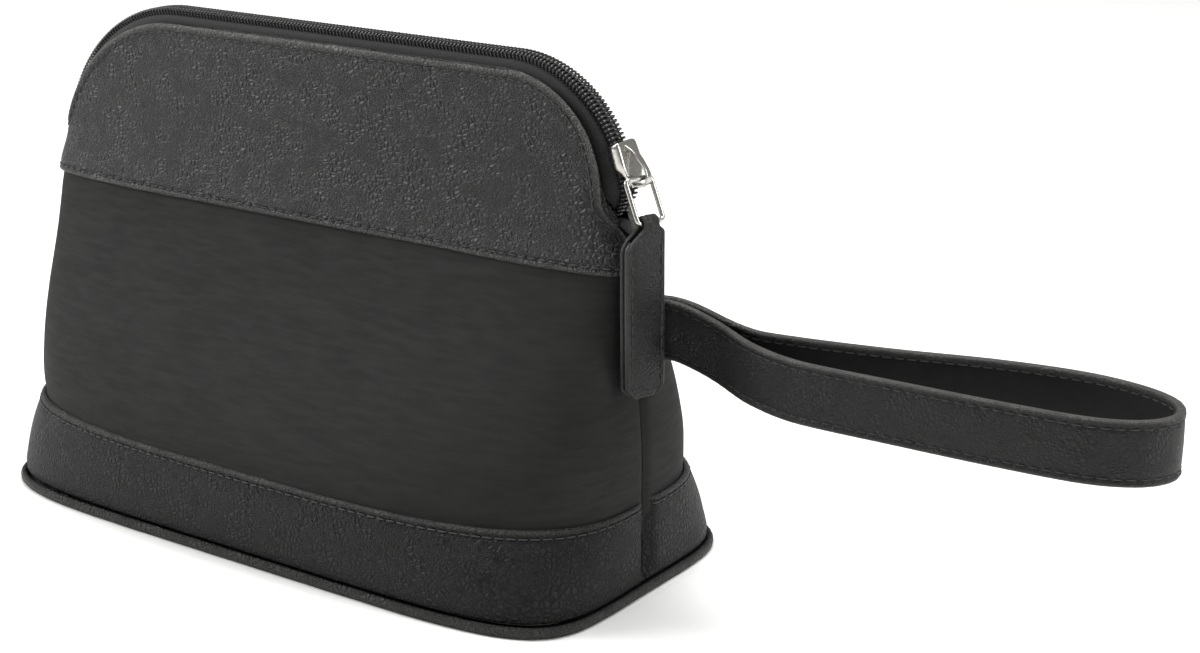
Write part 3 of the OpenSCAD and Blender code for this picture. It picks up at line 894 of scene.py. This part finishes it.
def zip_line():
    """Top of the coil in the XZ plane, right end to left end, with outward normals and distances."""
    right = np.radians(np.arange(-5, 90, 0.5))
    left = np.radians(np.arange(90, 7.9, -0.5))
    a = np.stack([RIGHT_C[0] + RIGHT_R * np.cos(right), RIGHT_C[1] + RIGHT_R * np.sin(right)], -1)
    b = np.stack([LEFT_C[0] - LEFT_R * np.cos(left), LEFT_C[1] + LEFT_R * np.sin(left)], -1)
    line = np.concatenate([a, b])
    normal = np.concatenate([np.stack([np.cos(right), np.sin(right)], -1),
                             np.stack([-np.cos(left), np.sin(left)], -1)])
    s = np.concatenate([[0], np.cumsum(np.linalg.norm(np.diff(line, axis=0), axis=1))])
    return line, normal, s


ZIP_LINE, ZIP_NORMAL, ZIP_S = zip_line()
SLIDER_S = RIGHT_R * (SLIDER_ANGLE + math.radians(5))


def on_zip(s, y, h):
    """Points at distance s along the zip, y out of its middle towards the front, h above the coil's top."""
    dive = 1 - ease(-1, 8, s)
    y, h = y * (1 - 0.45 * dive), h - 3.4 * dive
    base = [np.interp(s, ZIP_S, ZIP_LINE[:, a]) for a in (0, 1)]
    n = [np.interp(s, ZIP_S, ZIP_NORMAL[:, a]) for a in (0, 1)]
    return np.stack(np.broadcast_arrays(base[0] + n[0] * h, -y, base[1] + n[1] * h), -1)


def zip_sweep(name, side, profile, s0, s1, material, slot, spacing=1.0, wave=None):
    y, h = np.array(profile, float).T
    s = np.linspace(s0, s1, int((s1 - s0) / spacing))[:, None]
    apart = 1 - ease(SLIDER_S - 6, SLIDER_S + 1, s)
    y = y + 0.75 * apart * ease(3.2, 0.4, y)
    if wave:
        h = h + wave(s, y)
    points = on_zip(s, y, h)
    steps = np.diff(np.array(profile), axis=0)
    length = np.concatenate([[0], np.cumsum(np.hypot(steps[:, 0], steps[:, 1]))])
    grain = np.stack(np.broadcast_arrays(s, 0 * s, length[None] + 0 * s), -1)
    verts, faces = mirrored(side, *loop_solid(points))
    return finish_mesh(name, verts, faces, material, slot, grain=grain.reshape(-1, 3))


def coil_teeth(side):
    pitch = 1.3
    shift = 0 if side < 0 else pitch / 2
    s = np.arange(shift + 0.6, ZIP_S[-1] - 0.5, pitch)[:, None]
    y = np.array([2.75, 3.05, 3.12, 2.95, 2.4, 1.5, 0.6, 0.0, -0.38, -0.52, -0.5])
    h = np.array([-2.15, -1.7, -1.1, -0.62, -0.36, -0.30, -0.32, -0.42, -0.7, -1.15, -1.6])
    lean = np.linspace(-0.22, 0.22, len(y))
    apart = 1 - ease(SLIDER_S - 6, SLIDER_S + 1, s)
    spread = 0.75 + (y + 0.52) * (2.45 / 3.64)
    points = on_zip(s + lean, y + apart * (spread - y), h + 0.0 * s)
    normals = np.cross(np.gradient(points, axis=1), on_zip(s + lean + 1, y, h) - on_zip(s + lean, y, h))
    normals = unit(normals)
    radius = np.array([0.28, 0.31, 0.33, 0.34, 0.34, 0.34, 0.35, 0.38, 0.40, 0.36, 0.26])
    return mirrored(side, *tubes(points, normals, radius, 7))


def zip_half(side):
    face = "front" if side < 0 else "back"
    tape_profile = [(0.12, -2.3), (1.6, -2.25), (3.1, -2.28), (3.6, -2.6), (4.05, -3.4), (4.35, -4.4),
                    (4.6, -6.0), (4.75, -8.2), (4.3, -8.2), (4.15, -6.1), (3.9, -4.6), (3.6, -3.7),
                    (3.2, -3.0), (2.9, -2.7), (1.6, -2.62), (0.12, -2.65)]
    tape = zip_sweep(face + "_zip_tape_cloth", side, tape_profile, 1.0, ZIP_S[-1] - 1.0, TAPE, "zip_tape",
                     wave=lambda s, y: 0.10 * np.sin(s * 0.9) * ease(3.2, 4.2, y) * ease(5.0, 4.4, y))
    cord_profile = [(0.12, -2.2), (2.7, -2.2), (2.85, -1.8), (2.6, -1.2), (1.4, -0.95), (0.4, -1.05),
                    (0.12, -1.3)]
    cord = zip_sweep(face + "_coil_cord", side, cord_profile, 0.5, ZIP_S[-1] - 0.5, TAPE, "zip_tape")
    teeth = finish_mesh(face + "_coil_turns", *coil_teeth(side), NYLON, "zip_coil")
    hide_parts(face + "_zip_tape")
    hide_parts(face + "_zip_coil")
    if side < 0:
        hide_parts("left_zip_tape_end", "right_zip_tape_end")
        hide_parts("left_coil_end", "right_coil_end")
    for piece in (tape, cord, teeth):
        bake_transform(piece)
    lining_outer = linspace_pairs(4.0, 141.7, 2.7, 70)
    lining_inner = linspace_pairs(4.0, 141.7, 3.2, 70)
    lining = wall_panel(face + "_lining_cloth", side, lining_outer, lining_inner,
                        lambda p, along, z: 0.0 * along, no_dent, LINING, "lining")
    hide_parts(face + "_lining", face + "_mouth_lining")
    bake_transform(lining)


for side in (-1, 1):
    zip_half(side)


def end_tab(side_name, sign, z0, z1, stand):
    """Small leather tab over one end of the zip."""
    z = np.linspace(z0, z1, 14)
    reach = (right_len if sign > 0 else left_len)(z)
    fullness = 1 - ((z - z0) / (z1 - z0) * 2 - 1) ** 6
    half = np.maximum(0.5, mouth(z) - 0.4) * np.sqrt(np.clip(fullness, 0.02, 1))
    ring = np.array([(0.2, -1), (0.75, -0.98), (1, -0.8), (1.1, -0.3), (1.1, 0.3), (1, 0.8), (0.75, 0.98),
                     (0.2, 1), (-0.9, 0.9), (-1.1, 0.3), (-1.1, -0.3), (-0.9, -0.9)])
    rounding = np.sqrt(np.clip(fullness, 0.1, 1))
    points = np.stack([sign * (reach[:, None] + stand * np.maximum(ring[:, 0], -1) * rounding[:, None]),
                       half[:, None] * ring[:, 1], z[:, None] + 0 * ring[:, 0]], -1)
    # Painted highlight of 0.3 over the whole end tab.
    tab = finish_mesh(side_name + "_end_tab", *loop_solid(points), TAB, "grain_leather", painted_highlight=0.3)
    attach(tab, "bag")
    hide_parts(side_name + "_zip_tab")


end_tab("left", -1, 98.2, 104.6, 1.5)
end_tab("right", 1, 98.6, 107.5, 1.3)


def seam_binding(name, sign):
    """Ribbed tape folded over the seam's raw edges inside the bag."""
    z = np.linspace(6, 90, 80)
    reach = (right_len if sign > 0 else left_len)(z)
    ring = np.array([(-3.4, -2.8), (-3.4, 2.8), (-3.8, 3.0), (-4.3, 2.4), (-4.5, 0.8), (-4.5, -0.8),
                     (-4.3, -2.4), (-3.8, -3.0)])
    ribs = 0.06 * np.sin(z * 4.2)[:, None]
    points = np.stack([sign * (reach[:, None] + ring[:, 0] - ribs * (ring[:, 0] < -4)),
                       ring[:, 1] + 0 * z[:, None], z[:, None] + 0 * ring[:, 0]], -1)
    tape = finish_mesh(name + "_tape", *loop_solid(points), BINDING, "binding")
    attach(tape, "bag")
    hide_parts(name)


seam_binding("left_seam_binding", -1)
seam_binding("right_seam_binding", 1)


# ---- Slider, its bridge, the link ----

def from_slider(along, y, r):
    """Points at a distance along the zip from the slider's middle, across it, and above the coil's top."""
    psi = along / RIGHT_R
    radius = RIGHT_R + r
    x, z = radius * np.cos(psi), radius * np.sin(psi)
    c, s = math.cos(SLIDER_ANGLE), math.sin(SLIDER_ANGLE)
    return np.stack(np.broadcast_arrays(RIGHT_C[0] + x * c - z * s, y, RIGHT_C[1] + x * s + z * c), -1)


def slider_shell():
    stations = np.array([-6.3, -6.24, -6.1, -5.8, -5.2, -4.4, -3.4, -2.4, -1.4, -0.7, 0.2, 1.5, 3, 4.5,
                         5.5, 5.9, 6.15, 6.26, 6.3])
    half = np.interp(stations, [-6.3, -6.1, -5.7, -0.8, 0.2, 1.2, 5.5, 6.0, 6.3],
                     [1.5, 2.05, 2.5, 4.55, 4.68, 4.66, 4.42, 4.2, 3.6])
    ends = np.clip(1 - ((np.abs(stations) - 5.6) / 0.72) ** 2 * (np.abs(stations) > 5.6), 0, 1) ** 0.5
    grid = []
    for a, w, k in zip(stations, half, ends):
        low_ = 0.32 - 2.2 * float(ease(3.3, 4.2, w)) * k
        top_ = 0.45 + 1.15 * k
        right = [(w - 1.1, 0.32), (w - 1.1, low_ + 0.12), (w - 0.95, low_), (w - 0.25, low_),
                 (w, min(low_ + 0.25, 0.5)), (w, 0.45 + 0.45 * k), (w - 0.10, 0.45 + 0.8 * k),
                 (w - 0.38, 0.45 + 1.03 * k), (w - 0.9, top_ - 0.04), (w * 0.5, top_ + 0.02),
                 (w * 0.2, top_ + 0.05)]
        ring = right + [(-y, r) for y, r in reversed(right)]
        grid.append(from_slider(np.full(len(ring), a), *np.array(ring).T))
    return loop_solid(np.array(grid))


def join_parts(parts):
    verts, faces, count = [], [], 0
    for v, f in parts:
        verts.append(v)
        faces += [[i + count for i in q] for q in f]
        count += len(v)
    return np.concatenate(verts), faces


def rounded_bar(path, side_axis, half_w, half_t, up):
    """Bar of rounded section swept along a path of points; half_w may change along it."""
    t = unit(np.gradient(path, axis=0))
    b = np.broadcast_to(side_axis, path.shape)
    n = np.cross(t, b) * up
    n = unit(n)
    a = np.arange(20) * 2 * math.pi / 20
    c, s = np.sign(np.cos(a)) * np.abs(np.cos(a)) ** 0.45, np.sign(np.sin(a)) * np.abs(np.sin(a)) ** 0.45
    half_w = np.broadcast_to(half_w, len(path))[:, None, None]
    half_t = np.broadcast_to(half_t, len(path))[:, None, None]
    return loop_solid(path[:, None] + b[:, None] * c[:, None] * half_w + n[:, None] * s[:, None] * half_t)


def make_slider():
    plate = []
    for a in (-5.9, -5.7, -5.0, 5.0, 5.7, 5.9):
        k = 1.0 if abs(a) < 5.8 else 0.8
        ring = [(2.2 * k, -4.0), (2.0 * k, -3.5), (1.4 * k, -3.4), (-1.4 * k, -3.4), (-2.0 * k, -3.5),
                (-2.2 * k, -4.0), (-2.0 * k, -4.45), (-1.4 * k, -4.6), (1.4 * k, -4.6), (2.0 * k, -4.45)]
        plate.append(from_slider(np.full(len(ring), a), *np.array(ring).T))
    post_line = from_slider(np.full(9, -3.6), np.zeros(9), np.linspace(-3.6, 0.6, 9))
    post = rounded_bar(post_line, np.array([0.0, 1.0, 0.0]), 0.5, 1.7, 1)
    shell = finish_mesh("slider_shell", *join_parts([slider_shell(), loop_solid(np.array(plate)), post]),
                        NICKEL, "nickel")
    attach(shell, "zip_slider")
    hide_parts("slider_body")
    arch = catmull([(-5.72, 1.2), (-5.85, 2.8), (-5.75, 4.1), (-5.0, 5.2), (-3.7, 5.55), (-2.2, 5.35),
                    (0.0, 4.4), (2.2, 3.2), (4.0, 2.0), (4.8, 1.3)], 6)
    line = from_slider(arch[:, 0], 0 * arch[:, 0], arch[:, 1])
    waist = 1.2 - 0.28 * np.exp(-((arch[:, 0] + 1.5) / 2.2) ** 2) + 0.35 * ease(3.0, 4.8, arch[:, 0])
    bridge = finish_mesh("slider_crown", *rounded_bar(line, np.array([0.0, 1.0, 0.0]), waist, 0.45, 1),
                         NICKEL, "nickel")
    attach(bridge, "zip_slider")
    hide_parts("slider_bridge")


make_slider()

LINK_HALF, LINK_L, LINK_BEND, WIRE_R = 4.5, 12.0, 1.1, 0.7
LEAN = math.radians(26)


def make_link():
    side_, end_ = LINK_HALF - LINK_BEND, LINK_L - LINK_BEND
    corners = [(side_, LINK_BEND, 90, 0), (side_, end_, 0, -90), (-side_, end_, -90, -180),
               (-side_, LINK_BEND, 180, 90)]
    line = []
    for cx, cl, a0, a1 in corners:
        for a in np.radians(np.linspace(a0, a1, 9)):
            line.append((cx + LINK_BEND * math.cos(a), cl - LINK_BEND * math.sin(a)))
    line.append(line[0])
    line = evenly(np.array(line), count=97)[0][:-1]
    lean = math.sin(LEAN) * OUT - math.cos(LEAN) * UP
    path = LINK_TOP + line[:, :1] * ACROSS + line[:, 1:] * lean
    t = np.roll(path, -1, axis=0) - np.roll(path, 1, axis=0)
    t = unit(t)
    flat = np.cross(ACROSS, lean)
    across = np.cross(t, flat)
    a = np.arange(16) * 2 * math.pi / 16
    points = path[:, None] + WIRE_R * (np.cos(a)[:, None] * flat + np.sin(a)[:, None] * across[:, None])
    verts = points.reshape(-1, 3)
    faces = outward(grid_faces(len(path), 16, wrap_rows=True, wrap_cols=True), verts)
    link = finish_mesh("wire_link", verts, faces, NICKEL, "nickel")
    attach(link, "link")
    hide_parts("pull_link")


make_link()


# ---- Pull tab: one strip folded over the link, with its stiffener and stitches ----

TAB_HALF, TAB_DROP, LEG, FOLD_R = 6.6, 48.0, 1.33, 1.45
NECK, SHOULDER, ASIDE = 2.6, -1.4, 2.0
TAB_SEWN = 1.35


def in_tab(x, y, z):
    p = np.stack(np.broadcast_arrays(x, y, z), -1)
    return TAB_TOP + p[..., :1] * OUT + p[..., 1:2] * ACROSS + p[..., 2:] * UP


def tab_edges(z):
    """Middle and half width of the tab at a height below the link."""
    cut = np.interp(z, [-TAB_DROP, -TAB_DROP + 0.25, -TAB_DROP + 2.2, -TAB_DROP + 2.8], [2.5, 2.2, 0.15, 0.0])
    far = np.interp(z, SHOULDER + np.array([-1.6, -1.0, -0.2, 0.3, 0.8]), [4.6, 4.4, 3.6, NECK + 0.3, NECK])
    near = np.interp(z, SHOULDER + np.array([-6.2, -4.6, -2.2, -0.4, 0.4]), [8.6, 8.2, 6.3, 3.6, NECK])
    far = np.minimum(far, TAB_HALF - ASIDE - cut)
    near = np.minimum(near, TAB_HALF + ASIDE - cut)
    return (far - near) / 2, (far + near) / 2


def make_tab():
    leg = -np.concatenate([[TAB_DROP, TAB_DROP - 0.1], np.linspace(TAB_DROP - 0.3, TAB_DROP - 3, 8),
                           np.linspace(TAB_DROP - 4, 5, 44), np.linspace(4.2, 0.3, 16)])
    arc = np.radians(np.linspace(0, 180, 15))
    x = np.concatenate([np.interp(leg, [-3.0, -0.3], [LEG, FOLD_R]), FOLD_R * np.cos(arc),
                        -np.interp(leg, [-3.0, -0.3], [LEG, FOLD_R])[::-1]])
    z = np.concatenate([leg, FOLD_R * np.sin(arc), leg[::-1]])
    nx = np.concatenate([np.ones(len(leg)), np.cos(arc), -np.ones(len(leg))])
    nz = np.concatenate([0 * leg, np.sin(arc), 0 * leg])
    middle, w = [v[:, None] for v in tab_edges(z)]
    thin = np.clip(0.75 + (z + TAB_DROP) / 0.8, 0.75, 1)[:, None]
    section = [(0.60, 0.0, 0.5), (0.62, 2.6, 1), (0.55, 1.9, 1), (0.44, TAB_SEWN, 1), (0.62, 0.85, 1),
               (0.58, 0.4, 1), (0.34, 0.08, 1), (0.0, 0.0, 1), (-0.35, 0.05, 1), (-0.58, 0.3, 1),
               (-0.64, 1.0, 1), (-0.64, 0.0, 0.5)]
    right = [(n, 1 - k if k < 1 else 1, i) for n, i, k in section]
    n_off = np.array([n for n, _, _ in right] + [n for n, _, _ in reversed(right)][1:-1])
    inset = np.array([i for _, _, i in right] + [i for _, _, i in reversed(right)][1:-1])
    centre = np.array([k for _, k, _ in right] + [k for _, k, _ in reversed(right)][1:-1])
    sign = np.array([1.0] * len(right) + [-1.0] * (len(right) - 2))
    off = sign * np.maximum(w - inset, 0.15) * (centre == 1)
    y = middle + off
    n_off = n_off * thin
    dome = 0.10 * (1 - (off / w) ** 2) * (n_off > 0)
    points = in_tab(x[:, None] + nx[:, None] * (n_off + dome), y, z[:, None] + nz[:, None] * (n_off + dome))
    points = points + 0.07 * ripple(points, 7, 21)[..., None] * (nx[:, None, None] * OUT)
    verts, faces = loop_solid(points)
    # Painted highlight along the side edges of the tab.
    edge = np.exp(-(inset / 0.6) ** 2) * (np.abs(n_off) > -1) * 0.8 * (centre == 1)
    tab = finish_mesh("pull_tab_strip", verts, faces, TAB, "tab_leather", painted_highlight=edge.ravel())
    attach(tab, "tab")
    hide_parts("pull_tab_leather")
    rows = -np.linspace(4.6, TAB_DROP - 0.4, 60)
    middle, half = tab_edges(rows)
    half = half - 0.45
    thick, wide = np.array([(0.60, 0.94), (0.45, 1.0), (-0.45, 1.0), (-0.60, 0.94), (-0.60, -0.94),
                            (-0.45, -1.0), (0.45, -1.0), (0.60, -0.94)]).T
    core = in_tab(thick, middle[:, None] + half[:, None] * wide,
                  rows[:, None] + np.zeros(len(wide)))
    stiffener = finish_mesh("pull_tab_middle", *loop_solid(core), EDGE, "stiffener")
    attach(stiffener, "tab")
    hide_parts("pull_tab_core")
    for face_name, sign_ in (("front", 1), ("back", -1)):
        w_ = TAB_HALF - TAB_SEWN
        bottom_ = -TAB_DROP + 1.6
        outline = np.array([(-w_, -8.6), (-w_, bottom_ + 1.6), (-w_ + 1.6, bottom_), (w_ - 1.6, bottom_),
                            (w_, bottom_ + 1.6), (w_, -4.2)]) - (ASIDE, 0)
        line, along = evenly(outline, spacing=0.5)
        path = in_tab(sign_ * (LEG + 0.52), line[:, 0], line[:, 1])
        normals = np.broadcast_to(sign_ * OUT, path.shape)
        p, n, r = stitches_on(path, along, normals, 0.5, along[-1] - 0.5, 0.19)
        seam = finish_mesh(f"pull_tab_{face_name}_stitches", *tubes(p, n, r), THREAD, "binding")
        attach(seam, "tab")


make_tab()


# ---- Wrist strap: a leather ribbon with turned edges, lined, bent into a loop ----

STRAP_HALF, STRAP_Z = 8.5, 77.5
STRAP_ROUTE = [
    (104.6, -0.3), (108, 1.3), (111, 2.7), (114, 3.8), (118, 4.6), (126, 4.7), (132, 3.8), (138, 1.6),
    (146, -2.2),
    (155, -5.4), (165, -6.8), (187, -6.4), (212, -5.8), (236, -4), (248, 0.2), (254, 6.6),
    (254.6, 13.6), (250, 20.6), (240, 25.2), (224, 26.8), (202, 23.4), (176, 16),
    (152, 10.8), (134, 8.6), (120, 8), (114, 6.9), (111, 5.7), (108, 4.25), (104.6, 2.7)]


def strap_frame():
    line, along = evenly(catmull(STRAP_ROUTE, 12), spacing=0.8)
    t = unit(np.gradient(line, axis=0))
    out_side = np.stack([t[:, 1], -t[:, 0]], -1)
    z = STRAP_Z - 6 * ease(110, 142, line[:, 0])
    return line, out_side, z, along


def in_strap(section):
    """A closed section (out, height) swept along the strap."""
    line, out_side, z, along = strap_frame()
    o, h = section[..., 0], section[..., 1]
    xy = line[:, None] + out_side[:, None] * o[..., None]
    heights = z[:, None] + h
    return np.concatenate([xy, heights[..., None]], -1), along


STRAP_SEWN = 2.1


def make_strap():
    upper = [(1.16, 3.5), (1.12, 5.2), (1.04, 5.9), (0.84, STRAP_HALF - STRAP_SEWN), (1.10, 6.9),
             (1.26, 7.35), (1.22, 7.85), (0.95, 8.28), (0.45, 8.5), (-0.25, 8.5), (-0.85, 8.3),
             (-1.15, 7.9), (-1.22, 7.3), (-1.12, 6.8), (-0.85, 6.4)]
    lower = [(o, -h) for o, h in reversed(upper)]
    section = np.array([(1.2, 0.0), *upper, (-0.25, 6.2), (-0.2, 0.0), (-0.25, -6.2), *lower])
    line, out_side, z, along = strap_frame()
    rings = np.broadcast_to(section, (len(line), *section.shape)).copy()
    sewn = np.exp(-((np.abs(section[:, 1]) - (STRAP_HALF - STRAP_SEWN)) / 0.5) ** 2) * (section[:, 0] > 0)
    rings[..., 0] -= 0.13 * np.cos(2 * math.pi * along / PITCH)[:, None] * sewn
    rolled = np.exp(-((np.abs(section[:, 1]) - 7.6) / 0.8) ** 2)
    rolled = rolled * (section[:, 0] > 0)
    rings[..., 0] += 0.06 * np.cos(2 * math.pi * along / PITCH + math.pi)[:, None] * rolled
    points, _ = in_strap(rings)
    points += (0.10 * ripple(points, 12, 31) * (section[:, 0] > 0.5))[..., None] * np.concatenate(
        [out_side, np.zeros((len(out_side), 1))], -1)[:, None]
    verts, faces = loop_solid(points)
    # Painted highlight along the strap's rolled edges.
    painted_highlight = np.tile(np.exp(-((np.abs(section[:, 1]) - 8.3) / 0.5) ** 2) * 0.8, len(line))
    grain = np.stack([np.broadcast_to(along[:, None], rings.shape[:2]), rings[..., 0], rings[..., 1]], -1)
    strap = finish_mesh("strap_leather", verts, faces, STRAP, "strap_leather",
                        grain=grain.reshape(-1, 3), painted_highlight=painted_highlight)
    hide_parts("strap_outer")
    back = np.array([(-0.3, -6.5), (-0.9, -6.55), (-1.02, -6.2), (-1.05, 0), (-1.02, 6.2), (-0.9, 6.55),
                     (-0.3, 6.5)])
    points, _ = in_strap(np.broadcast_to(back, (len(line), *back.shape)))
    grain = np.stack(np.broadcast_arrays(along[:, None], back[:, 0], back[:, 1]), -1)
    backing = finish_mesh("strap_backing", *loop_solid(points), BACKING, "strap_back",
                          grain=grain.reshape(-1, 3))
    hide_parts("strap_lining")
    pieces = [strap, backing]
    for name, h in (("upper", STRAP_HALF - STRAP_SEWN), ("lower", STRAP_SEWN - STRAP_HALF)):
        for face_name, o, sign in (("outer", 0.92, 1), ("inner", -1.02, -1)):
            path = np.concatenate([line + out_side * o, (z + h)[:, None]], -1)
            normals = sign * np.concatenate([out_side, np.zeros((len(line), 1))], -1)
            p, n, r = stitches_on(path, along, normals, 4, along[-1] - 4, 0.2)
            seam = finish_mesh(f"strap_{name}_{face_name}_stitches", *tubes(p, n, r), THREAD, "binding")
            pieces.append(seam)
    for piece in pieces:
        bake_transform(piece)


make_strap()
